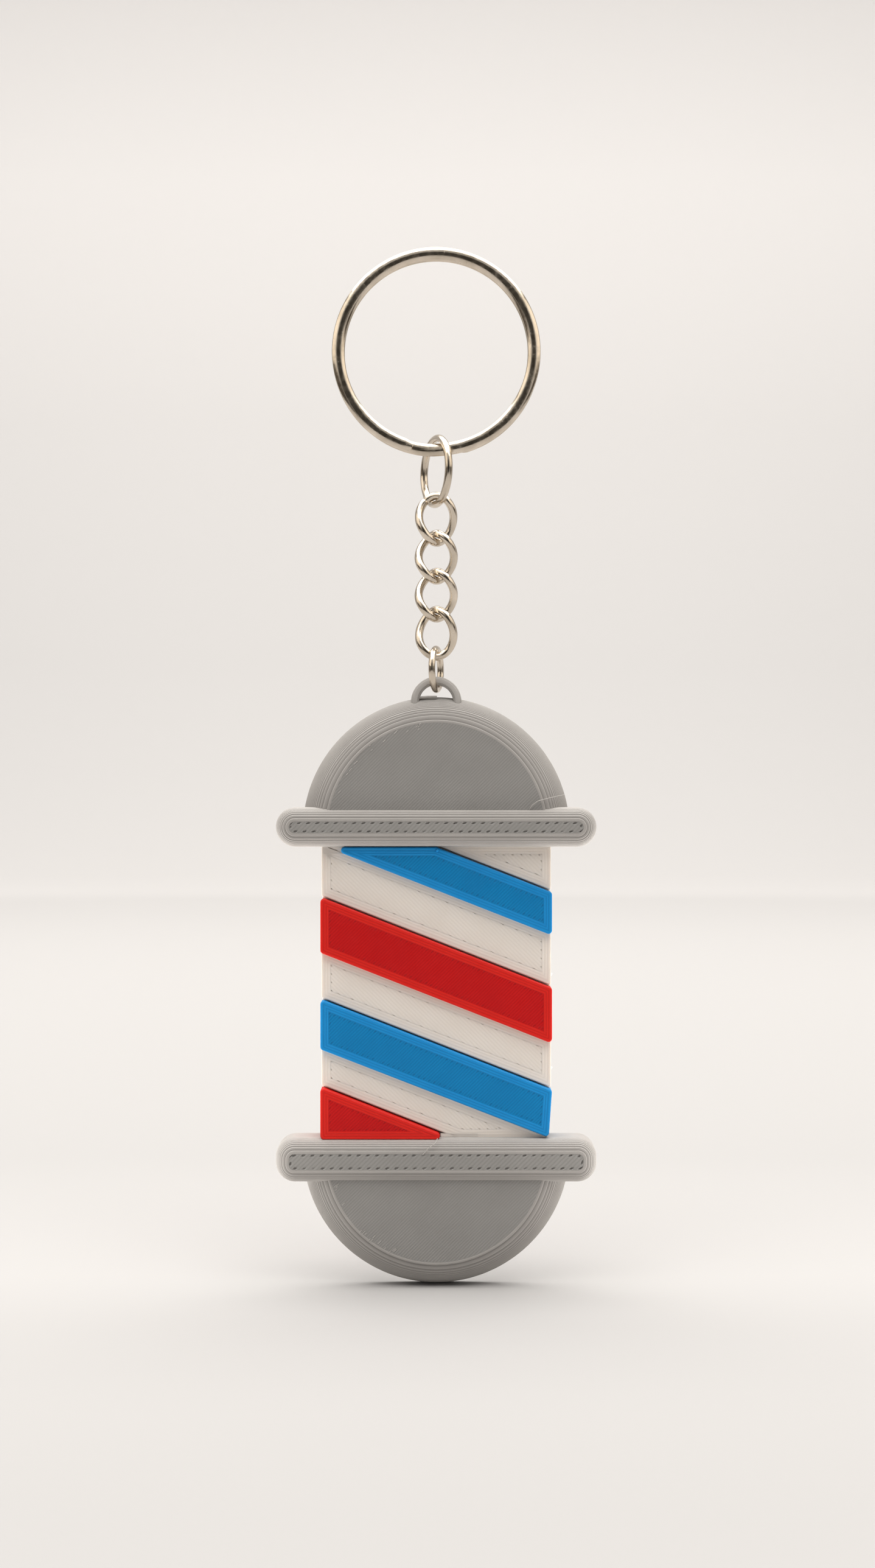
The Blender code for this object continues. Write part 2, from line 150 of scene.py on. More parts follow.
def new_tree(name, **sizes):
    """A geometry tree with one named input for each size, and all its inputs by name."""
    tree = bpy.data.node_groups.new(name, "GeometryNodeTree")
    tree.interface.new_socket("Geometry", in_out="INPUT", socket_type="NodeSocketGeometry")
    for label, usual in sizes.items():
        kind = "NodeSocketInt" if isinstance(usual, int) else "NodeSocketFloat"
        label = label.replace("_", " ").capitalize()
        tree.interface.new_socket(label, in_out="INPUT", socket_type=kind).default_value = usual
    tree.interface.new_socket("Material", in_out="INPUT", socket_type="NodeSocketMaterial")
    tree.interface.new_socket("Geometry", in_out="OUTPUT", socket_type="NodeSocketGeometry")
    outputs = tree.nodes.new("NodeGroupInput").outputs
    return tree, {socket.name: Value(socket) for socket in outputs if socket.name}


def close_tree(tree, geometry, given):
    """Ends a tree: printed shapes stand up on their back, and all is realised with its material."""
    if "Back" in given:
        stand = {
            "Geometry": geometry,
            "Translation": vector(tree, 0.0, given["Back"], 0.0),
            "Rotation": (QUARTER_TURN, 0.0, 0.0),
        }
        geometry = node(tree, "GeometryNodeTransform", stand)
    real = node(tree, "GeometryNodeRealizeInstances", {"Geometry": geometry})
    surfaced = node(tree, "GeometryNodeSetMaterial", {"Geometry": real, "Material": given["Material"]})
    feed(surfaced, tree.nodes.new("NodeGroupOutput").inputs[0])
    return tree


def grow(tree, mesh, surface, **sizes):
    """Runs a tree over a mesh and returns the plain mesh that it makes."""
    carrier = bpy.data.objects.new("carrier", mesh)
    bpy.context.scene.collection.objects.link(carrier)
    modifier = carrier.modifiers.new("grow", "NODES")
    modifier.node_group = tree
    wanted = {label.replace("_", " "): value for label, value in sizes.items()}
    wanted["material"] = surface
    for item in tree.interface.items_tree:
        if item.in_out == "INPUT" and item.name.lower() in wanted:
            modifier[item.identifier] = wanted.pop(item.name.lower())
    assert not wanted, wanted
    graph = bpy.context.evaluated_depsgraph_get()
    made = bpy.data.meshes.new_from_object(carrier.evaluated_get(graph))
    bpy.data.objects.remove(carrier)
    bpy.data.meshes.remove(mesh)
    return made


def marked_for_groove_shade(geometry, groove):
    """Stores how deep each point lies in a groove, from 0 to 1, for the plastic's painted shade in its
    grooves.
    """
    inputs = {"Geometry": geometry, "Name": "groove", "Value": groove}
    store = "GeometryNodeStoreNamedAttribute"
    return node(geometry.tree, store, inputs, data_type="FLOAT", domain="POINT")


def point_count(given):
    mesh = given["Geometry"]
    return node(mesh.tree, "GeometryNodeAttributeDomainSize", {0: mesh}, "Point Count")


def sampled(given, name, index, data_type="FLOAT_VECTOR"):
    """What the incoming mesh's point of an index carries under a name."""
    tree = index.tree
    field = node(tree, "GeometryNodeInputNamedAttribute", {"Name": name}, data_type=data_type)
    inputs = {"Geometry": given["Geometry"], "Value": field, "Index": index}
    return node(tree, "GeometryNodeSampleIndex", inputs, data_type=data_type)


def path_mesh(points):
    """A mesh of one run of edges through points."""
    mesh = bpy.data.meshes.new("path")
    mesh.from_pydata([tuple(p) for p in points], [(i, i + 1) for i in range(len(points) - 1)], [])
    return mesh


def piece_of(name, meshes, body, replaced):
    """Joins meshes into one closed piece that rides on a body."""
    joined = bmesh.new()
    surfaces = []
    for mesh in meshes:
        for held in mesh.materials:
            if held not in surfaces:
                surfaces.append(held)
        places = [surfaces.index(held) for held in mesh.materials]
        for face in mesh.polygons:
            face.material_index = places[face.material_index]
        joined.from_mesh(mesh)
        bpy.data.meshes.remove(mesh)
    bmesh.ops.remove_doubles(joined, verts=joined.verts, dist=WELD)
    bmesh.ops.dissolve_degenerate(joined, edges=joined.edges, dist=WELD / 10)
    # The lines that fill a face are an open sheet, whose underside is closed here.
    open_edges = [edge for edge in joined.edges if edge.is_boundary]
    bmesh.ops.holes_fill(joined, edges=open_edges)
    bmesh.ops.recalc_face_normals(joined, faces=joined.faces)
    mesh = bpy.data.meshes.new(name)
    joined.to_mesh(mesh)
    joined.free()
    for surface in surfaces:
        mesh.materials.append(surface)
    mesh.shade_smooth()
    mesh.set_sharp_from_angle(angle=math.radians(50))
    piece = bpy.data.objects.new(name, mesh)
    bpy.context.scene.collection.objects.link(piece)
    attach(piece, body)
    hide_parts(replaced)
    return piece


# Node trees


def printed_wall_tree():
    """Layers laid round an outline: face beads in front, stepped rounded edge, back beads behind.

    The incoming mesh is the outline. Each of its points carries the centre, direction and radius
    of its corner and the mitre along which it moves once an inset is past that radius.
    """
    tree, given = new_tree(
        "printed_wall",
        layers=20,
        layer_height=LAYER,
        edge_radius=1.0 * MM,
        edge_bulge=EDGE_BULGE,
        softness=0.4,
        perimeters=2,
        perimeter_width=0.42 * MM,
        perimeter_valley=0.05 * MM,
        face_drop=FACE_DROP,
        face_shade=0.0,
        wobble=0.01 * MM,
        seed=1.0,
        back=0.0,
    )
    layers, layer, edge = given["Layers"], given["Layer height"], given["Edge radius"]
    perimeters, width = given["Perimeters"], given["Perimeter width"]
    count = point_count(given)
    face_rows = perimeters * WALL_ROWS + 1.0
    rows = layers * WALL_ROWS + face_rows * 2.0
    grid = node(tree, "GeometryNodeMeshGrid", {"Vertices X": count + 1.0, "Vertices Y": rows})
    index = node(tree, "GeometryNodeInputIndex")
    column = calc("MODULO", calc("FLOOR", (index + 0.5) / rows), count)
    row = calc("FLOOR", calc("MODULO", index, rows) + 0.5)
    depth = layers * layer

    def layer_inset(number):
        """How far the rounded edge holds a layer back, from its place under the front."""
        left = calc("MAXIMUM", edge - layer * (number + 0.5), 0.0)
        return edge - calc("SQRT", edge * edge - left * left)

    def face_inset_and_fall(place, edge_inset):
        """A row of the face beads: its inset, and how far it lies under the crests."""
        step = place - 1.0
        bead = calc("FLOOR", (step + 0.5) / WALL_ROWS)
        share = (step - bead * WALL_ROWS) / WALL_ROWS
        inset = edge_inset + given["Edge bulge"] + width * (perimeters - bead - share)
        crest = calc("SINE", share * math.pi)
        outermost = calc("GREATER_THAN", bead, perimeters - 1.5)
        past_crest = calc("GREATER_THAN", share, 0.4)
        crest = calc("MAXIMUM", crest, outermost * past_crest)
        fall = given["Perimeter valley"] * (1.0 - crest)
        at_base = calc("LESS_THAN", place, 0.5)
        base_inset = edge_inset + given["Edge bulge"] + width * perimeters
        return pick(at_base, base_inset, inset), pick(at_base, given["Face drop"], fall)

    front_inset, front_fall = face_inset_and_fall(row, layer_inset(0.0))
    from_back = rows - 1.0 - row
    foot = layer_inset(layers - 1.0) + given["Edge bulge"]
    back_inset, back_fall = face_inset_and_fall(from_back, foot)

    layer_row = row - face_rows
    number = calc("FLOOR", (layer_row + 0.5) / WALL_ROWS)
    step = layer_row - number * WALL_ROWS
    angle = math.radians(70) - step * math.radians(46)
    # Painted shade: the bottom rows of each layer are marked fully, and its top rows a little, for a
    # darker colour in the grooves between layers.
    wall_groove_shade = calc("GREATER_THAN", step, 2.5) + calc("LESS_THAN", step, 0.5) * 0.35
    bulge = given["Edge bulge"] * (1.0 - calc("COSINE", angle))
    middle = depth - layer * (number + 0.5)
    wall_height = middle + layer * 0.5 * calc("SINE", angle)
    # Lower layers lean towards the plain rounding, as slumped edges do, and the top ones stay stepped.
    plain = layer_inset((depth - wall_height) / LAYER - 0.5)
    lean = given["Softness"] * calc("MINIMUM", number / 4.0, 1.0)
    stepped = layer_inset(number)
    wall_inset = stepped + bulge + lean * (plain - stepped)

    in_front = calc("LESS_THAN", row, face_rows - 0.5)
    in_back = calc("LESS_THAN", from_back, face_rows - 0.5)
    on_face = calc("MAXIMUM", in_front, in_back)
    inset = pick(in_front, front_inset, pick(in_back, back_inset, wall_inset))
    height = pick(in_front, depth - front_fall, pick(in_back, back_fall * 0.4, wall_height))

    centre = sampled(given, "centre", column)
    outward = sampled(given, "outward", column)
    mitre = sampled(given, "mitre", column)
    radius = sampled(given, "corner_radius", column, "FLOAT")
    up = vector(tree, 0.0, 0.0, 1.0)
    on_edge = plus(centre, scaled(outward, radius))
    lift = scaled(up, (number + given["Seed"]) * 0.01)
    sway = {"Vector": plus(on_edge, lift), "Scale": 420.0, "Detail": 2.0}
    rough = node(tree, "ShaderNodeTexNoise", sway, noise_dimensions="3D")
    inset = inset + (rough - 0.5) * 2.0 * given["Wobble"] * (1.0 - on_face)
    inside = calc("MAXIMUM", radius - inset, 0.0)
    past = calc("MAXIMUM", inset - radius, 0.0)
    place = plus(centre, plus(scaled(outward, inside), scaled(mitre, past)))
    raised = {"Geometry": grid, "Position": plus(place, scaled(up, height))}
    moved = node(tree, "GeometryNodeSetPosition", raised)
    # Painted shade: the face beads are marked darker in their valleys, and Face shade sets the least
    # painted shade over all of them.
    face_fall = pick(in_front, front_fall, back_fall)
    face_groove_shade = calc("MINIMUM", face_fall / given["Perimeter valley"], 1.0)
    face_groove_shade = calc("MAXIMUM", face_groove_shade, given["Face shade"])
    grooved = marked_for_groove_shade(moved, pick(on_face, face_groove_shade, wall_groove_shade))
    welded = node(tree, "GeometryNodeMergeByDistance", {"Geometry": grooved, "Distance": WELD})
    return close_tree(tree, welded, given)


def filament_tree():
    """A flat run of squashed plastic along a drawn path, with rounded turns."""
    tree, given = new_tree(
        "filament_lines",
        bead_width=0.42 * MM,
        bead_height=0.2 * MM,
        bead_rounding=0.08 * MM,
        turn_radius=0.12 * MM,
        wobble=0.012 * MM,
        seed=1.0,
        back=0.0,
    )

    def rounded(curve, radius):
        inputs = {"Curve": curve, "Count": 2, "Radius": radius, "Limit Radius": True}
        return node(tree, "GeometryNodeFilletCurve", inputs, mode="POLY")

    line = node(tree, "GeometryNodeMeshToCurve", {"Mesh": given["Geometry"]})
    turned = rounded(line, given["Turn radius"])
    place = node(tree, "GeometryNodeInputPosition")
    inputs = {"Vector": place, "W": given["Seed"], "Scale": 900.0, "Detail": 1.0}
    rough = node(tree, "ShaderNodeTexNoise", inputs, "Color", noise_dimensions="4D")
    sway = scaled(plus(rough, (-0.5, -0.5, -0.5)), given["Wobble"] * 2.0)
    swayed = node(tree, "GeometryNodeSetPosition", {"Geometry": turned, "Offset": sway})
    upright = node(tree, "GeometryNodeSetCurveNormal", {"Curve": swayed}, mode="Z_UP")
    size = {"Width": given["Bead width"], "Height": given["Bead height"]}
    section = rounded(node(tree, "GeometryNodeCurvePrimitiveQuadrilateral", size), given["Bead rounding"])
    sweep = {"Curve": upright, "Profile Curve": section, "Fill Caps": True}
    return close_tree(tree, node(tree, "GeometryNodeCurveToMesh", sweep), given)


def filled_face_tree():
    """Parallel lines that fill a flat face, with a pit where two lines turn back from its edge.

    Each point of the incoming mesh is one run along the face, and carries where the run starts
    and ends. A few runs make one line of plastic.
    """
    tree, given = new_tree(
        "filled_face",
        valley=0.02 * MM,
        pit_depth=0.0,
        pit_length=0.5 * MM,
        pit_sharpness=0.9,
        end_zone=0.7 * MM,
        end_columns=7,
        columns=24,
        wobble=0.006 * MM,
        seed=1.0,
        height=0.0,
        facing=1.0,
        skirt=FACE_DROP + FACE_OVERLAP,
        back=0.0,
    )
    columns, end_columns, facing = given["Columns"], given["End columns"], given["Facing"]
    rows = point_count(given)
    grid = node(tree, "GeometryNodeMeshGrid", {"Vertices X": rows, "Vertices Y": columns})
    index = node(tree, "GeometryNodeInputIndex")
    row = calc("FLOOR", (index + 0.5) / columns)
    column = index - row * columns
    start, end = sampled(given, "start", row), sampled(given, "end", row)
    length = node(tree, "ShaderNodeVectorMath", {0: start, 1: end}, "Value", operation="DISTANCE")
    zone = calc("MINIMUM", given["End zone"], length * 0.49)
    last_column = columns - 1.0
    from_end = last_column - column
    near = column / end_columns * zone
    far = length - from_end / end_columns * zone
    middle_share = (column - end_columns) / (last_column - end_columns * 2.0)
    between = zone + middle_share * (length - zone * 2.0)
    at_start = calc("LESS_THAN", column, end_columns + 0.5)
    at_end = calc("LESS_THAN", from_end, end_columns + 0.5)
    along = pick(at_start, near, pick(at_end, far, between))
    share = along / calc("MAXIMUM", length, 0.01 * MM)
    line = calc("FLOOR", (row + 0.5) / RUNS)
    part = row - line * RUNS
    off_crest = calc("ABSOLUTE", part / 2.0 - 1.0)
    fall = given["Valley"] * off_crest * off_crest
    # Two lines meet in a turn at one end of each valley, and leave a pit at its other end.
    valley_number = calc("FLOOR", (row + 1.5) / RUNS)
    turns_at_start = calc("MODULO", valley_number, 2.0)
    depth_in = pick(turns_at_start, length - along, along)
    arch = (depth_in - 0.03 * MM) / given["Pit length"] * math.pi
    arch = calc("MINIMUM", calc("MAXIMUM", arch, 0.0), math.pi)
    in_valley = calc("POWER", off_crest, given["Pit sharpness"])
    lot = {"W": valley_number + given["Seed"] * 57.0}
    chance = node(tree, "ShaderNodeTexWhiteNoise", lot, "Value", noise_dimensions="1D")
    luck = calc("MINIMUM", chance * 2.0 + 0.3, 1.0)
    pit = given["Pit depth"] * calc("SINE", arch) * in_valley * luck
    flat = node(tree, "ShaderNodeMix", {0: share, 4: start, 5: end}, 1, data_type="VECTOR")
    inputs = {"Vector": flat, "W": given["Seed"], "Scale": 700.0, "Detail": 2.0}
    rough = node(tree, "ShaderNodeTexNoise", inputs, noise_dimensions="4D")
    uneven = (rough - 0.5) * 2.0 * given["Wobble"]
    level = given["Height"] + facing * (uneven - (fall + pit))
    lifted = {"Geometry": grid, "Position": plus(flat, vector(tree, 0.0, 0.0, level))}
    sheet = node(tree, "GeometryNodeSetPosition", lifted)
    # Painted shade: the valleys between the lines and the pits are marked for a darker colour.
    pitted = pit * 2.0 / calc("MAXIMUM", given["Pit depth"], WELD)
    sheet = marked_for_groove_shade(sheet, calc("MAXIMUM", off_crest * off_crest, pitted))
    welded = node(tree, "GeometryNodeMergeByDistance", {"Geometry": sheet, "Distance": WELD})
    rim_edges = calc("LESS_THAN", node(tree, "GeometryNodeInputMeshEdgeNeighbors"), 1.5)
    down = vector(tree, 0.0, 0.0, facing * given["Skirt"] * -1.0)
    skirt = {"Mesh": welded, "Selection": rim_edges, "Offset": down, "Offset Scale": 1.0}
    return close_tree(tree, node(tree, "GeometryNodeExtrudeMesh", skirt, mode="EDGES"), given)


def bent_path(steps, spot):
    """A curve through the spots of its steps."""
    line = node(spot.tree, "GeometryNodeMeshLine", {"Count": steps})
    bent = node(spot.tree, "GeometryNodeSetPosition", {"Geometry": line, "Position": spot})
    return node(spot.tree, "GeometryNodeMeshToCurve", {"Mesh": bent})


def wire_loop_tree():
    """An oval of wire about Z whose ends are turned by their own twists, closed at a butt joint."""
    tree, given = new_tree(
        "wire_loop",
        half_length=3.4 * MM,
        half_width=2.55 * MM,
        top_twist=0.0,
        bottom_twist=0.0,
        wire=1.25 * MM,
        flatness=0.92,
        butt_angle=0.0,
        butt_gap=0.05 * MM,
        steps=72,
        centre_height=0.0,
    )
    share = node(tree, "GeometryNodeInputIndex") / (given["Steps"] - 1.0)
    gap = given["Butt gap"] / given["Half length"]
    angle = given["Butt angle"] + gap * 0.5 + share * (FULL_TURN - gap)
    height = calc("COSINE", angle)
    reach = given["Half width"] * calc("SINE", angle)
    upness = (height + 1.0) * 0.5
    twist = given["Bottom twist"] + upness * (given["Top twist"] - given["Bottom twist"])
    across, deep = reach * calc("COSINE", twist), reach * calc("SINE", twist)
    spot = vector(tree, across, deep, height * given["Half length"] + given["Centre height"])
    path = bent_path(given["Steps"], spot)
    from_end = calc("MINIMUM", share, 1.0 - share)
    # The section shrinks a little at the cut ends, so that they come out slightly rounded.
    full = ranged(from_end, 0.0, 0.012, 0.9, 1.0, interpolation_type="SMOOTHSTEP")
    size = {"Resolution": 18, "Radius": given["Wire"] * 0.5}
    circle = node(tree, "GeometryNodeCurvePrimitiveCircle", size)
    press = {"Geometry": circle, "Scale": vector(tree, 1.0, given["Flatness"], 1.0)}
    pressed = node(tree, "GeometryNodeTransform", press)
    sweep = {"Curve": path, "Profile Curve": pressed, "Scale": full, "Fill Caps": True}
    return close_tree(tree, node(tree, "GeometryNodeCurveToMesh", sweep), given)


def split_ring_tree():
    """A flat wire coiled nearly twice, crossing from the front coil to the back one at its cut end."""
    tree, given = new_tree(
        "split_ring_coil",
        centre_radius=14.18 * MM,
        centre_height=-13.26 * MM,
        wire_radial=RING_WIRE,
        wire_axial=0.92 * MM,
        coil_offset=0.5 * MM,
        cut_end=math.radians(14.2),
        crossover=math.radians(26.0),
        steps=420,
    )
    share = node(tree, "GeometryNodeInputIndex") / (given["Steps"] - 1.0)
    start = FULL_TURN - given["Crossover"]
    angle = share * (start + FULL_TURN - 0.006)
    crossing = ranged(angle, start, FULL_TURN, 1.0, -1.0, interpolation_type="SMOOTHSTEP")
    around = given["Cut end"] + angle
    radius = given["Centre radius"]
    spot = vector(
        tree,
        radius * -1.0 * calc("SINE", around),
        given["Coil offset"] * -1.0 * crossing,
        given["Centre height"] - radius * calc("COSINE", around),
    )
    path = {"Curve": bent_path(given["Steps"], spot), "Normal": (0.0, 1.0, 0.0)}
    facing = node(tree, "GeometryNodeSetCurveNormal", path, mode="FREE")
    from_end = calc("MINIMUM", share, 1.0 - share)
    pinch = ranged(from_end, 0.0, 0.006, 0.62, 1.0)
    circle = node(tree, "GeometryNodeCurvePrimitiveCircle", {"Resolution": 32, "Radius": 1.0})
    place = node(tree, "GeometryNodeInputPosition")
    softness = 1.08

    def squared_off(axis, wire):
        """One coordinate of the wire's section, a circle drawn out towards a rectangle."""
        value = node(tree, "ShaderNodeSeparateXYZ", {0: place}, axis)
        size = calc("POWER", calc("ABSOLUTE", value), softness)
        return calc("SIGN", value) * size * (wire * 0.5)

    across, deep = squared_off(0, given["Wire axial"]), squared_off(1, given["Wire radial"])
    crown = {"Geometry": circle, "Position": vector(tree, across, deep, 0.0)}
    crowned = node(tree, "GeometryNodeSetPosition", crown)
    sweep = {"Curve": facing, "Profile Curve": crowned, "Scale": pinch, "Fill Caps": True}
    return close_tree(tree, node(tree, "GeometryNodeCurveToMesh", sweep), given)


WALL = printed_wall_tree()
FILAMENT = filament_tree()
FACE = filled_face_tree()
WIRE_LOOP = wire_loop_tree()
SPLIT_RING = split_ring_tree()


# Surfaces


def srgb(red, green, blue):
    """A linear colour from the usual 0 to 255 values."""
    return tuple(
        (part / 255 / 12.92) if part <= 10 else ((part / 255 + 0.055) / 1.055) ** 2.4
        for part in (red, green, blue)
    ) + (1.0,)


def surface_noise(tree, scale, detail):
    """Noise over the piece's own coordinates."""
    place = node(tree, "ShaderNodeTexCoord", output="Object")
    return node(tree, "ShaderNodeTexNoise", {"Vector": place, "Scale": scale, "Detail": detail})


def blended(share, first, second):
    """A colour between two others."""
    inputs = {0: share, 6: first, 7: second}
    return node(share.tree, "ShaderNodeMix", inputs, 2, data_type="RGBA")


def new_material(name):
    made = bpy.data.materials.new(name)
    made.use_nodes = True
    return made, made.node_tree


def dress(made, settings):
    """Links or sets the inputs of a material's shader, by name."""
    shader = made.node_tree.nodes["Principled BSDF"]
    for label, value in settings.items():
        feed(value, shader.inputs[label])
    return made


def printed_plastic(name, colour, shade, roughness, gloss, subsurface, painted_groove_shade):
    """Satin layered plastic: cloudy colour, painted shade in the grooves, small gloss changes and a fine
    skin.
    """
    made, tree = new_material(name)
    colour, shade = srgb(*colour), srgb(*shade)
    clouds = surface_noise(tree, 260.0, 3.0)
    grain = surface_noise(tree, 5200.0, 4.0)
    shine = surface_noise(tree, 700.0, 3.0)
    mottle = clouds * 0.55 + grain * 0.45
    base = blended(ranged(mottle, 0.3, 0.7, 0.0, 1.0), colour, shade)
    # Painted shade: the colour darkens towards a deeper tone where the groove mark is high.
    groove = node(tree, "ShaderNodeAttribute", output="Fac", attribute_name="groove")
    deep = tuple(part * (1.0 - painted_groove_shade) for part in shade[:3]) + (1.0,)
    skin = {"Strength": 0.28, "Distance": 0.02 * MM, "Height": grain}
    look = {
        "Base Color": blended(groove, base, deep),
        "Roughness": ranged(shine, 0.3, 0.7, roughness - 0.07, roughness + 0.09),
        "Normal": node(tree, "ShaderNodeBump", skin),
        "Specular IOR Level": gloss,
        "Subsurface Weight": subsurface,
        "Subsurface Radius": (1.0, 0.85, 0.7),
        "Subsurface Scale": 0.6 * MM,
    }
    return dress(made, look)


def nickel_plate():
    """Bright warm nickel with small dents and pits and a little handling wear."""
    made, tree = new_material("nickel_plate")
    tone = ranged(surface_noise(tree, 300.0, 3.0), 0.3, 0.7, 0.0, 1.0)
    wear = surface_noise(tree, 1500.0, 5.0)
    pits = surface_noise(tree, 3800.0, 4.0)
    dents = surface_noise(tree, 650.0, 2.0)
    relief = {"Strength": 0.22, "Distance": 0.03 * MM, "Height": pits * 0.25 + dents}
    look = {
        "Metallic": 1.0,
        "Base Color": blended(tone, (0.71, 0.63, 0.53, 1.0), (0.50, 0.435, 0.35, 1.0)),
        "Roughness": ranged(wear, 0.35, 0.75, 0.12, 0.3),
        "Normal": node(tree, "ShaderNodeBump", relief),
    }
    return dress(made, look)


# Each plastic: its colour and cloudy shade, roughness, gloss, depth of light, strength of the painted
# shade in its grooves
NICKEL = nickel_plate()
# Each colour comes as two copies of one plastic, as painted light and shade. The lit copy is for the
# walls and is painted lighter, for the light that their rounded edges catch. The shaded copy is for the
# flat faces and is painted darker.
GREY_PAINTED_LIT = printed_plastic("grey_print_painted_lit", (172, 168, 164), (164, 160, 156), 0.5, 0.4, 0.0, 0.38)
GREY_FACE_PAINTED_SHADE = printed_plastic("grey_print_face_painted_shade", (145, 143, 140), (135, 133, 130), 0.46, 0.32, 0.0, 0.1)
WHITE_PAINTED_LIT = printed_plastic("white_print_painted_lit", (224, 216, 208), (217, 208, 199), 0.5, 0.3, 0.25, 0.04)
WHITE_FACE_PAINTED_SHADE = printed_plastic("white_print_face_painted_shade", (221, 213, 205), (214, 205, 196), 0.52, 0.25, 0.25, 0.03)
BLUE_PAINTED_LIT = printed_plastic("blue_print_painted_lit", (22, 136, 200), (16, 126, 190), 0.45, 0.25, 0.08, 0.16)
BLUE_FACE_PAINTED_SHADE = printed_plastic("blue_print_face_painted_shade", (11, 124, 182), (8, 112, 168), 0.42, 0.2, 0.05, 0.1)
RED_PAINTED_LIT = printed_plastic("red_print_painted_lit", (208, 32, 22), (198, 25, 18), 0.45, 0.25, 0.08, 0.16)
RED_FACE_PAINTED_SHADE = printed_plastic("red_print_face_painted_shade", (190, 19, 19), (175, 11, 15), 0.42, 0.2, 0.05, 0.1)


# Outlines: each point keeps its corner, so that any inset of it follows


def rounded_outline(corners, radius, arc_steps):
    """The rim points of a convex shape with rounded corners, counterclockwise."""
    bends = []
    count = len(corners)
    for index, corner in enumerate(corners):
        here = Vector(corner)
        on = (Vector(corners[(index + 1) % count]) - here).normalized()
        back = (here - Vector(corners[index - 1])).normalized()
        side_in = Vector((back.y, -back.x))
        side_out = Vector((on.y, -on.x))
        inward = -(side_in + side_out).normalized()
        mitre = inward / inward.dot(-side_in)
        bends.append((here + mitre * radius, side_in, side_out, mitre))
    rim = []
    for index, (centre, side_in, side_out, mitre) in enumerate(bends):
        start = math.atan2(side_in.y, side_in.x)
        turn = (math.atan2(side_out.y, side_out.x) - start) % FULL_TURN
        for step in range(arc_steps + 1):
            angle = start + turn * step / arc_steps
            outward = Vector((math.cos(angle), math.sin(angle)))
            rim.append((centre, outward, radius, mitre))
        next_centre, _, _, next_mitre = bends[(index + 1) % count]
        steps = max(int((next_centre - centre).length / OUTLINE_STEP), 1)
        for step in range(1, steps):
            share = step / steps
            spot = centre.lerp(next_centre, share)
            rim.append((spot, side_out, radius, mitre.lerp(next_mitre, share)))
    return rim


def disc_outline(centre_z, radius, first, last, steps):
    """The rim points of part of a disc. Its straight side closes from the last to the first."""
    centre = Vector((0.0, centre_z))
    angles = [first + (last - first) * step / steps for step in range(steps + 1)]
    no_mitre = Vector((0.0, 0.0))
    return [(centre, Vector((math.cos(a), math.sin(a))), radius, no_mitre) for a in angles]


def inset_rim(rim, inset):
    """The corners of the shape that an outline leaves at an inset."""
    return [
        centre + outward * max(radius - inset, 0.0) + mitre * max(inset - radius, 0.0)
        for centre, outward, radius, mitre in rim
    ]


def points_mesh(name, places, **carried):
    """A mesh of loose points that carry further flat vectors."""
    mesh = bpy.data.meshes.new(name)
    mesh.from_pydata([(*place, 0.0) for place in places], [], [])
    for label, values in carried.items():
        held = mesh.attributes.new(label, "FLOAT_VECTOR", "POINT")
        for target, value in zip(held.data, values):
            target.vector = (*value, 0.0)
    return mesh


def rim_mesh(rim):
    """The outline as a mesh whose points carry what the wall tree reads."""
    centres, outwards, radii, mitres = zip(*rim)
    places = [centre + outward * radius for centre, outward, radius, _ in rim]
    mesh = points_mesh("rim", places, centre=centres, outward=outwards, mitre=mitres)
    held = mesh.attributes.new("corner_radius", "FLOAT", "POINT")
    for target, radius in zip(held.data, radii):
        target.value = radius
    return mesh


def runs_mesh(polygon, angle, width):
    """The runs of the lines that fill a convex polygon at an angle, as points with their ends."""
    along = Vector((math.cos(angle), math.sin(angle)))
    across = Vector((-along.y, along.x))
    levels = [point.dot(across) for point in polygon]
    low, high = min(levels), max(levels)
    steps = max(int((high - low) / width), 1) * RUNS
    starts, ends = [], []
    for step in range(1, steps):
        level = low + (high - low) * step / steps
        found = []
        for first, second in zip(polygon, polygon[1:] + polygon[:1]):
            a, b = first.dot(across) - level, second.dot(across) - level
            if (a < 0) != (b < 0):
                found.append(first.lerp(second, a / (a - b)).dot(along))
        starts.append(along * min(found) + across * level)
        ends.append(along * max(found) + across * level)
    return points_mesh("runs", starts, start=starts, end=ends)


def rounded_edge_inset(radius, number):
    """The inset of a layer's edge under a rounded front edge."""
    left = max(radius - LAYER * (number + 0.5), 0.0)
    return radius - math.sqrt(radius**2 - left**2)


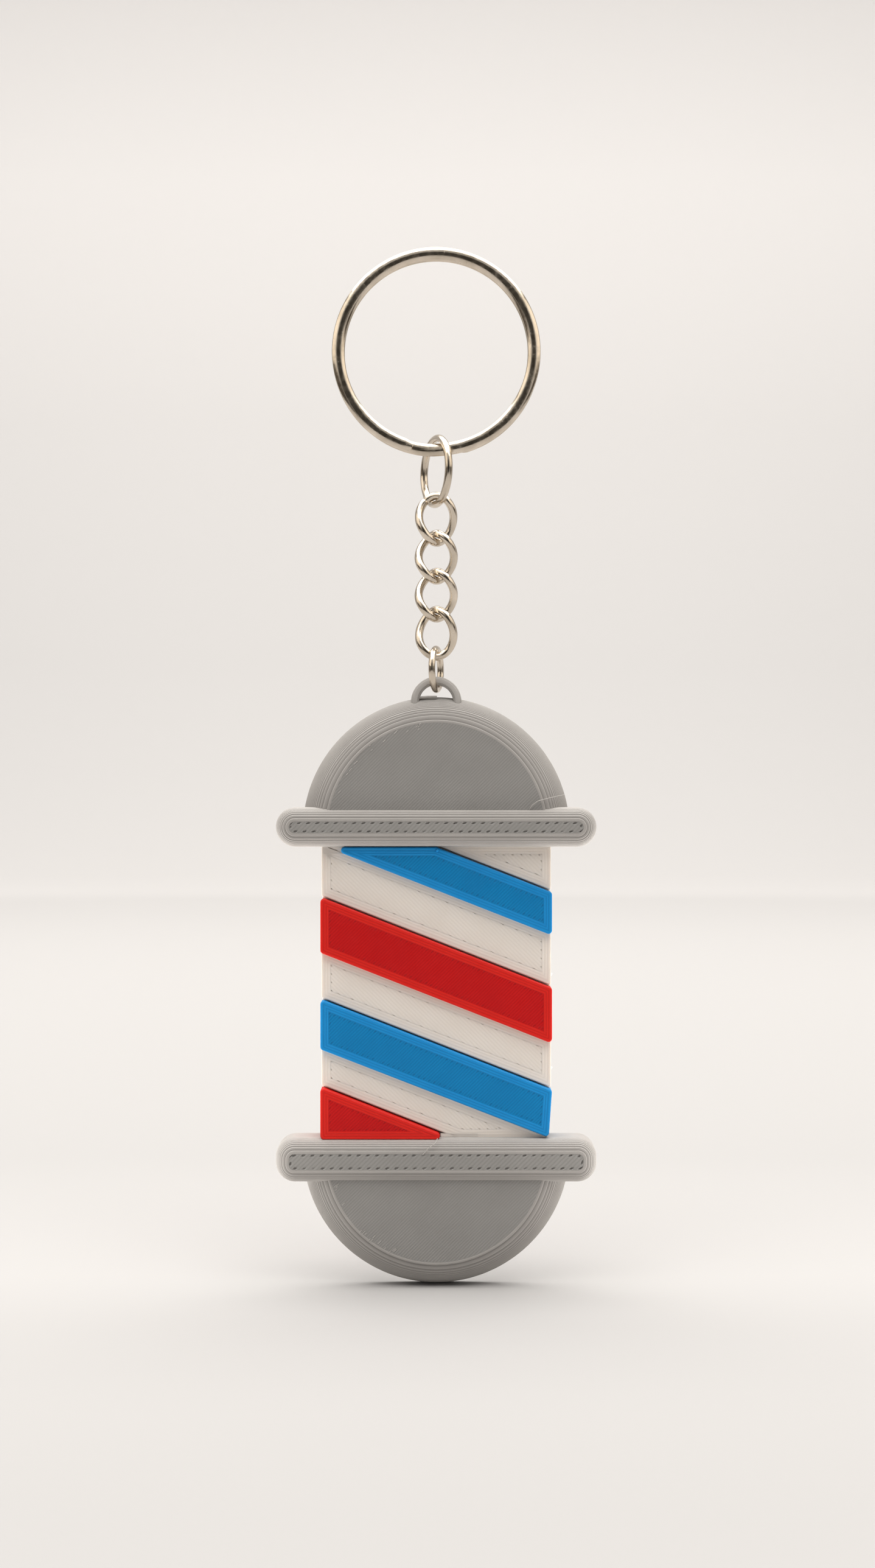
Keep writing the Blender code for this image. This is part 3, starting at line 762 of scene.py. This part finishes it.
def printed_body(
    rim,
    surfaces,
    layers,
    edge_radius,
    perimeters,
    width,
    angle,
    seed,
    sink=0.0,
    proud=0.0,
    softness=0.4,
    bulge=EDGE_BULGE,
    face_shade=0.0,
    valley=0.02 * MM,
    perimeter_valley=0.05 * MM,
    pit=0.0,
    pit_length=0.5 * MM,
    pit_sharpness=0.9,
):
    """The meshes of one printed body: its wall, and the lines that fill its front and back."""
    # The wall takes the lit copy of its colour, painted lighter, and the faces take the shaded copy,
    # painted darker.
    wall, face = surfaces
    back = BACK_Y + proud
    meshes = [
        grow(
            WALL,
            rim_mesh(rim),
            wall,
            layers=layers,
            edge_radius=edge_radius,
            perimeters=perimeters,
            perimeter_width=width,
            softness=softness,
            edge_bulge=bulge,
            perimeter_valley=perimeter_valley,
            face_shade=face_shade,
            seed=seed,
            back=back,
        )
    ]
    front_first = rounded_edge_inset(edge_radius, 0)
    back_first = rounded_edge_inset(edge_radius, layers - 1) + EDGE_BULGE
    fronts = (front_first, layers * LAYER - sink, angle, 1.0, pit)
    backs = (back_first, 0.0, -angle, -1.0, pit * 0.3)
    for first, height, slant, facing, pit_depth in (fronts, backs):
        polygon = inset_rim(rim, first + EDGE_BULGE + width * perimeters - FACE_OVERLAP)
        across = max(p.x for p in polygon) - min(p.x for p in polygon)
        tall = max(p.y for p in polygon) - min(p.y for p in polygon)
        longest = min(across, tall) * math.sqrt(2)
        meshes.append(
            grow(
                FACE,
                runs_mesh(polygon, slant, width),
                face,
                valley=valley,
                pit_depth=pit_depth,
                pit_length=pit_length,
                pit_sharpness=pit_sharpness,
                columns=15 + int(longest / (1.2 * MM)),
                seed=seed,
                height=height,
                facing=facing,
                back=back,
            )
        )
    return meshes


# Metal pieces


def make_split_ring():
    low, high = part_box("split_ring")
    mesh = grow(
        SPLIT_RING,
        path_mesh([(0, 0, 0), (0, 0, 1)]),
        NICKEL,
        centre_radius=(high.x - low.x) / 2 - RING_WIRE / 2,
        centre_height=(low.z + high.z) / 2,
    )
    piece_of("split_ring_wire", [mesh], "split_ring", "split_ring")


def make_loop_piece(name, half_width, wire, twists, butt):
    """A jump ring or a link, as tall as its place in the chain."""
    low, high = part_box(name)
    mesh = grow(
        WIRE_LOOP,
        path_mesh([(0, 0, 0), (0, 0, 1)]),
        NICKEL,
        half_length=(high.z - low.z - wire) / 2,
        half_width=half_width,
        top_twist=twists[0],
        bottom_twist=twists[1],
        wire=wire,
        flatness=0.93,
        butt_angle=math.radians(butt),
        centre_height=(high.z + low.z) / 2,
    )
    piece_of(name + "_wire", [mesh], name, name)


def make_chain():
    across = TOP_RING_YAW - QUARTER_TURN
    make_loop_piece("top_jump_ring", 4.785 * MM, 1.13 * MM, (across, across), -150)
    for number in range(1, 5):
        top = -OUTER_TWIST if number == 1 else -LINK_TWIST
        bottom = OUTER_TWIST if number == 4 else LINK_TWIST
        make_loop_piece(f"curb_link_{number}", 2.55 * MM, 1.25 * MM, (top, bottom), -38)
    across = LOWER_RING_YAW - QUARTER_TURN
    make_loop_piece("lower_jump_ring", 3.0 * MM, 1.0 * MM, (across, across), -115)


# Printed pieces


def loop_meshes(crest_z):
    """The hanging loop: a half ring on two legs, laid in the same layers as the dome."""
    inner, bar, depth, leg = 2.46 * MM, 1.2 * MM, 2.5 * MM, 2.4 * MM
    rounding, arc_steps = 0.58 * MM, 28
    layers = round(depth / LAYER)
    centre_z = crest_z - inner - bar
    radius = inner + bar / 2
    points = [(radius, centre_z - leg)]
    for step in range(arc_steps + 1):
        angle = math.pi * step / arc_steps
        points.append((radius * math.cos(angle), centre_z + radius * math.sin(angle)))
    points.append((-radius, centre_z - leg))
    meshes = []
    for number in range(layers):
        narrow = rounded_edge_inset(rounding, min(number, layers - 1 - number))
        height = LAYER * (number + 0.5)
        meshes.append(
            grow(
                FILAMENT,
                path_mesh([(x, z, height) for x, z in points]),
                GREY_PAINTED_LIT,
                bead_width=bar - 2 * narrow,
                bead_height=LAYER * 1.04,
                bead_rounding=0.07 * MM,
                turn_radius=0.0,
                wobble=0.006 * MM,
                seed=30.0 + number,
                back=BACK_Y,
            )
        )
    return meshes


def dabs(paths, thickness, seed, surface=None):
    """Strings and dabs of stray plastic along short paths of x, z and height over the back, in mm."""
    return [
        grow(
            FILAMENT,
            path_mesh([(x * MM, z * MM, height * MM) for x, z, height in path]),
            surface or GREY_PAINTED_LIT,
            bead_width=thickness,
            bead_height=thickness * 0.85,
            bead_rounding=thickness * 0.4,
            turn_radius=thickness,
            wobble=thickness * 0.12,
            seed=seed + number,
            back=BACK_Y,
        )
        for number, path in enumerate(paths)
    ]


def stray_ticks(count, centre_z, first, last):
    """Short raised ends of the infill lines, near the round edge of a dome's flat face."""
    reach, low, high = 15.9, 4.38, 4.42
    ticks = []
    for _ in range(count):
        angle = math.radians(rng.uniform(first, last))
        distance = reach * rng.uniform(0.93, 0.985)
        x, z = distance * math.cos(angle), centre_z / MM + distance * math.sin(angle)
        half = rng.uniform(0.08, 0.24)
        ticks.append([(x - half, z - half, low), (x + half, z + half, high)])
    return ticks


def make_domes():
    """Part discs that run in under their collars. The upper one carries the hanging loop."""
    radius = 19.4
    # What is left of the layers over the loop's foot, and a fine string across the right shoulder
    remnant = [(-2.5, -63.3, 1.9), (-1.2, -63.2, 2.0), (0.1, -63.22, 2.0)]
    string = [
        (13.2, -79.6, 4.3),
        (13.7, -78.8, 4.75),
        (14.5, -78.2, 4.85),
        (16.2, -77.75, 4.6),
        (18.4, -77.3, 4.0),
    ]
    for name, collar, raised, first, seed, ticks, tick_seed in (
        ("upper_dome", "upper_collar", -0.6, 0.0, 3.0, (14, 95, 172), 80.0),
        ("lower_dome", "lower_collar", 1.0, math.pi, 9.0, (18, 190, 255), 110.0),
    ):
        collar_low, collar_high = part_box(collar)
        centre_z = (collar_low.z + collar_high.z) / 2 + raised * MM
        side = math.asin(abs(raised) / radius)
        rim = disc_outline(centre_z, radius * MM, first + side, first + math.pi - side, 220)
        meshes = printed_body(
            rim,
            (GREY_PAINTED_LIT, GREY_FACE_PAINTED_SHADE),
            layers=22,
            edge_radius=4.35 * MM,
            perimeters=1,
            width=0.344 * MM,
            angle=math.radians(45),
            seed=seed,
            softness=0.1,
            bulge=0.14 * MM,
            valley=0.03 * MM,
            face_shade=0.42,
        )
        if name == "upper_dome":
            meshes += loop_meshes(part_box(name)[1].z)
            meshes += dabs([remnant], 0.36 * MM, 40.0)
            meshes += dabs([string], 0.11 * MM, 41.0)
        count, from_angle, to_angle = ticks
        meshes += dabs(stray_ticks(count, centre_z, from_angle, to_angle), 0.1 * MM, tick_seed)
        piece_of(name + "_print", meshes, "tag", name)


def make_collars():
    string = [(0.2, -126.4, 4.9), (-0.2, -127.0, 5.5), (-1.1, -127.6, 5.65), (-1.9, -128.6, 5.42)]
    for name, corner, seed in (("upper_collar", 2.8499 * MM, 5.0), ("lower_collar", 2.8 * MM, 6.0)):
        low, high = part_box(name)
        meshes = printed_body(
            rounded_outline(rectangle(low.x, high.x, low.z, high.z), corner, 16),
            (GREY_PAINTED_LIT, GREY_FACE_PAINTED_SHADE),
            layers=27,
            edge_radius=2.2 * MM,
            perimeters=1,
            width=0.461 * MM,
            angle=math.radians(45),
            seed=seed,
            proud=0.04 * MM,
            softness=0.5,
            valley=0.012 * MM,
            pit=0.34 * MM,
            perimeter_valley=0.03 * MM,
            face_shade=0.4,
        )
        if name == "lower_collar":
            meshes += dabs([string], 0.12 * MM, 50.0)
        piece_of(name + "_print", meshes, "tag", name)


def rectangle(left, right, low, high):
    """The corners of a rectangle, counterclockwise."""
    return [(left, low), (right, low), (right, high), (left, high)]


def below_line(polygon, height):
    """The part of a convex polygon under a slanted line that is at a height in the middle."""
    kept = []
    for (x0, z0), (x1, z1) in zip(polygon, polygon[1:] + polygon[:1]):
        above0 = z0 - (height - SLOPE * x0)
        above1 = z1 - (height - SLOPE * x1)
        if above0 <= 0:
            kept.append((x0, z0))
        if above0 * above1 < 0:
            share = above0 / (above0 - above1)
            kept.append((x0 + share * (x1 - x0), z0 + share * (z1 - z0)))
    return kept


def above_line(polygon, height):
    mirrored = [(-x, -z) for x, z in polygon]
    return [(-x, -z) for x, z in below_line(mirrored, -height)]


def without_short_sides(polygon, shortest):
    """The polygon with each side under the shortest length drawn together into one corner."""
    kept = list(polygon)
    index = 0
    while index < len(kept) and len(kept) > 3:
        following = (index + 1) % len(kept)
        here, there = Vector(kept[index]), Vector(kept[following])
        if (there - here).length < shortest:
            kept[index] = tuple((here + there) / 2)
            del kept[following]
            index = 0
        else:
            index += 1
    return kept


class Pole:
    """The pole's rectangle, cut by slanted lines that are given as distances under its top."""

    def __init__(self):
        self.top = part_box("upper_collar")[0].z
        self.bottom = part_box("lower_collar")[1].z
        self.length = self.top - self.bottom

    def band_rim(self, upper, lower, half, corner, over_top=0.0, over_bottom=0.0):
        """The outline of the band between two lines. None stands for the pole's own end."""
        outline = rectangle(-half, half, self.bottom - over_bottom, self.top + over_top)
        if upper is not None:
            outline = below_line(outline, self.top - upper)
        if lower is not None:
            outline = above_line(outline, self.top - lower)
        return rounded_outline(without_short_sides(outline, 2 * corner), corner, 6)


def shifted(below_top, amount):
    return None if below_top is None else below_top + amount


def make_white_band(pole, number, upper, lower):
    """A white band that runs on under its neighbours, over a core that closes the seams."""
    name = f"white_band_{number}"
    over = shifted(upper, -HIDDEN_OVERLAP)
    ends = {"over_top": HIDDEN_OVERLAP, "over_bottom": HIDDEN_OVERLAP}
    meshes = printed_body(
        pole.band_rim(over, shifted(lower, -GROOVE), 16.5 * MM, 0.2 * MM, **ends),
        (WHITE_PAINTED_LIT, WHITE_FACE_PAINTED_SHADE),
        layers=16,
        edge_radius=0.12 * MM,
        perimeters=3,
        width=0.4225 * MM,
        angle=math.radians(-45),
        seed=10.0 + number,
        valley=0.009 * MM,
        pit=0.16 * MM,
        pit_length=0.26 * MM,
        pit_sharpness=6.0,
        perimeter_valley=0.02 * MM,
    )
    core = pole.band_rim(over, shifted(lower, HIDDEN_OVERLAP), 16.4 * MM, 0.2 * MM, **ends)
    meshes.append(
        grow(
            WALL,
            rim_mesh(core),
            WHITE_PAINTED_LIT,
            layers=11,
            edge_radius=0.1 * MM,
            perimeters=1,
            back=BACK_Y - CORE_RECESS,
        )
    )
    # White plastic fills the pole's corners under the cut-off tips of two stripes.
    tips = {
        2: (-16.3 * MM, -12.0 * MM, pole.top - MM, pole.top),
        4: (0.6 * MM, 6.0 * MM, pole.bottom, pole.bottom + 0.5 * MM),
    }
    if number in tips:
        meshes.append(
            grow(
                WALL,
                rim_mesh(rounded_outline(rectangle(*tips[number]), 0.1 * MM, 2)),
                WHITE_PAINTED_LIT,
                layers=16,
                edge_radius=0.05 * MM,
                edge_bulge=0.02 * MM,
                perimeters=1,
                perimeter_width=0.06 * MM,
                face_drop=0.01 * MM,
                back=BACK_Y - 0.01 * MM,
            )
        )
    # The start of a layer's line shows as a bump at the right of two bands.
    bumps = {2: -103.2, 3: -116.7}
    if number in bumps:
        bump = [(16.48, bumps[number] - 0.1, 2.0), (16.6, bumps[number] + 0.1, 2.1)]
        meshes += dabs([bump], 0.4 * MM, 60.0, WHITE_PAINTED_LIT)
    piece_of(name + "_print", meshes, "tag", name)


def make_stripe(pole, number, name, upper, lower, surfaces):
    """A coloured stripe that stands proud of the white bands."""
    over, layers = (0.25 * MM, 21) if lower is None else (0.0, 20)
    meshes = printed_body(
        pole.band_rim(upper, lower, 16.63 * MM, 0.5 * MM, over_bottom=over),
        surfaces,
        layers=layers,
        edge_radius=0.3 * MM,
        perimeters=3,
        width=0.36 * MM,
        angle=math.radians(45),
        seed=30.0 + number,
        sink=0.03 * MM,
        proud=0.02 * MM,
        valley=0.028 * MM,
        pit=0.06 * MM,
        perimeter_valley=0.035 * MM,
    )
    if number == 1:
        seam = [(0.0, -85.3, 4.0), (0.35, -85.2, 4.05)]
        meshes += dabs([seam], 0.42 * MM, 70.0, BLUE_PAINTED_LIT)
    piece_of(name + "_print", meshes, "tag", name)


def make_pole():
    """White bands and coloured stripes by turns, from the top down."""
    pole = Pole()
    blue, red = (BLUE_PAINTED_LIT, BLUE_FACE_PAINTED_SHADE), (RED_PAINTED_LIT, RED_FACE_PAINTED_SHADE)
    length = pole.length
    middle = length / 2
    stripes = (
        ("blue_stripe_upper", 0.0, 6.2 * MM, blue, "blue_plastic"),
        ("red_stripe_middle", middle - 7.15 * MM, middle + 0.85 * MM, red, "red_plastic"),
        ("blue_stripe_lower", length - 13.35 * MM, length - 6.15 * MM, blue, "blue_plastic"),
        ("red_stripe_corner", length - 0.8 * MM, None, red, "red_plastic"),
    )
    above = None
    for number, (name, upper, lower, surfaces, slot) in enumerate(stripes, 1):
        make_white_band(pole, number, above, upper)
        make_stripe(pole, number, name, upper, lower, surfaces)
        above = lower


# Studio

# Painted light and shade on the paper: the wall is painted darker low down and lighter higher up, and the
# floor lighter towards the back. A lighter band at the piece's own depth paints light into its contact
# shadow.
WALL_PAINTED_LIGHT_TONES = ((0.0, 0.640), (0.22, 0.682), (0.51, 0.797), (0.81, 0.97), (1.0, 1.0))
FLOOR_PAINTED_LIGHT_TONES = (
    (0.0, 0.36),
    (0.165, 0.374),
    (0.215, 0.397),
    (0.235, 0.42),
    (0.30, 0.39),
    (0.433, 0.42),
    (0.815, 0.52),
    (1.0, 0.59),
)
FAR_PAPER_PAINTED_LIGHT = (0.95, 0.93, 0.92, 1.0)
BLACK = (0.02, 0.018, 0.015, 1.0)
BROWN = (0.06, 0.05, 0.04, 1.0)
CREAM = (0.95, 0.89, 0.80, 1.0)
LAMP_COLOUR = (1.0, 0.975, 0.94)
SKY_COLOUR = (1.0, 0.975, 0.945, 1.0)
CAMERA_PLACE = (0.185 * MM, -265.0 * MM, -75.76 * MM)
CAMERA_LENS = 42.03


def tone_ramp(share, tones):
    """A pale warm grey that changes along a share from 0 to 1, to paint light and shade onto the paper.
    """
    made = share.tree.nodes.new("ShaderNodeValToRGB")
    feed(share, made.inputs[0])
    ramp = made.color_ramp
    while len(ramp.elements) < len(tones):
        ramp.elements.new(0.5)
    for element, (place, tone) in zip(ramp.elements, tones):
        element.position = place
        element.color = (tone, tone * 0.98, tone * 0.967, 1.0)
    return Value(made.outputs[0])


def cove_paper(floor_z):
    """Pale paper whose tone is painted lighter and darker with depth and height, as painted light and
    shade.
    """
    paper, tree = new_material("paper")
    spot = node(tree, "ShaderNodeTexCoord", output="Object")
    depth = node(tree, "ShaderNodeSeparateXYZ", {0: spot}, 1)
    height = node(tree, "ShaderNodeSeparateXYZ", {0: spot}, 2)
    wall = tone_ramp(ranged(height, floor_z, floor_z + 0.85, 0.0, 1.0), WALL_PAINTED_LIGHT_TONES)
    floor = tone_ramp(ranged(depth, -0.3, 1.0, 0.0, 1.0), FLOOR_PAINTED_LIGHT_TONES)
    # The paper is painted paler outwards, as painted light where less of the soft light falls on it.
    reach = node(tree, "ShaderNodeVectorMath", {0: spot}, "Value", operation="LENGTH")
    far_floor = blended(ranged(reach, 0.9, 2.0, 0.0, 1.0), floor, FAR_PAPER_PAINTED_LIGHT)
    tone = blended(ranged(depth, 0.9, 1.05, 0.0, 1.0), far_floor, wall)
    return dress(paper, {"Base Color": tone, "Roughness": 0.8, "Specular IOR Level": 0.15})


def make_cove(floor_z):
    """A floor that bends up into a wall."""
    bend_start, bend_radius, bend_steps = 1.0, 0.6, 12
    profile = [(-3.0, floor_z), (bend_start, floor_z)]
    for step in range(1, bend_steps + 1):
        angle = QUARTER_TURN * step / bend_steps
        rise = bend_radius * (1 - math.cos(angle))
        profile.append((bend_start + bend_radius * math.sin(angle), floor_z + rise))
    profile.append((bend_start + bend_radius, floor_z + 4.0))
    cove = bmesh.new()
    rows = [[cove.verts.new((x, y, z)) for x in (-3.5, 3.5)] for y, z in profile]
    for (a, b), (c, d) in zip(rows, rows[1:]):
        cove.faces.new((a, b, d, c))
    mesh = bpy.data.meshes.new("cove")
    cove.to_mesh(mesh)
    cove.free()
    mesh.shade_smooth()
    mesh.materials.append(cove_paper(floor_z))
    sheet = bpy.data.objects.new("cove", mesh)
    bpy.context.scene.collection.objects.link(sheet)


def make_card(name, width, height, place, turn, colour, only_shine):
    """A card that the camera doesn't see. The metal reflects it, and some also shade the piece."""
    mesh = bpy.data.meshes.new(name)
    corners = rectangle(-width / 2, width / 2, -height / 2, height / 2)
    mesh.from_pydata([(x, y, 0) for x, y in corners], [], [(0, 1, 2, 3)])
    felt, _ = new_material(name)
    mesh.materials.append(dress(felt, {"Base Color": colour, "Roughness": 1.0}))
    card = bpy.data.objects.new(name, mesh)
    card.location = place
    card.rotation_euler = [math.radians(angle) for angle in turn]
    card.visible_camera = False
    card.visible_shadow = False
    card.visible_diffuse = not only_shine
    bpy.context.scene.collection.objects.link(card)


def make_lamp(name, width, depth, watts, place, upward):
    """A soft lamp over the piece, or light that the floor sends up."""
    light = bpy.data.lights.new(name, "AREA")
    light.shape = "RECTANGLE"
    light.size = width
    light.size_y = depth
    light.energy = watts
    light.color = LAMP_COLOUR
    lamp = bpy.data.objects.new(name, light)
    lamp.location = place
    lamp.rotation_euler = (math.radians(180) if upward else 0.0, 0.0, 0.0)
    lamp.visible_camera = False
    lamp.visible_glossy = not upward
    bpy.context.scene.collection.objects.link(lamp)


def make_studio():
    """A pale cove, soft light, and dark and pale cards that the metal reflects."""
    scene = bpy.context.scene
    floor_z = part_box("lower_dome")[0].z
    make_cove(floor_z)
    for card in (
        ("camera_side_card", 0.66, 0.50, (0.0, -0.55, -0.20), (90, 0, 0), BLACK, False),
        ("ring_side_card", 0.44, 0.22, (0.0, -0.55, 0.16), (90, 0, 0), BLACK, False),
        ("left_pale_card", 0.6, 0.32, (-0.42, -0.20, 0.21), (90, 0, -64), CREAM, True),
        ("right_pale_card", 0.6, 0.32, (0.42, -0.20, 0.21), (90, 0, 64), CREAM, True),
        ("left_dark_card", 0.56, 0.65, (-0.42, -0.20, -0.28), (90, 0, -64), BROWN, True),
        ("right_dark_card", 0.38, 0.65, (0.45, -0.20, -0.28), (90, 0, 66), BROWN, True),
    ):
        make_card(*card)
    low = floor_z + MM
    make_lamp("overhead_softbox", 1.8, 1.5, 36.0, (0.0, -0.08, 0.95), False)
    make_lamp("left_floor_bounce", 0.2, 0.25, 0.85, (-0.135, 0.09, low), True)
    make_lamp("right_floor_bounce", 0.2, 0.25, 0.85, (0.135, 0.09, low), True)

    world = bpy.data.worlds.new("studio")
    world.use_nodes = True
    sky = world.node_tree.nodes["Background"]
    sky.inputs["Color"].default_value = SKY_COLOUR
    sky.inputs["Strength"].default_value = 0.52
    scene.world = world

    camera = bpy.data.cameras.new("camera")
    camera.lens = CAMERA_LENS
    camera.clip_start = 0.01
    eye = bpy.data.objects.new("camera", camera)
    eye.location = CAMERA_PLACE
    eye.rotation_euler = (QUARTER_TURN, 0.0, 0.0)
    scene.collection.objects.link(eye)
    scene.camera = eye
    scene.view_settings.view_transform = "Standard"


make_studio()
make_split_ring()
make_chain()
make_domes()
make_collars()
make_pole()
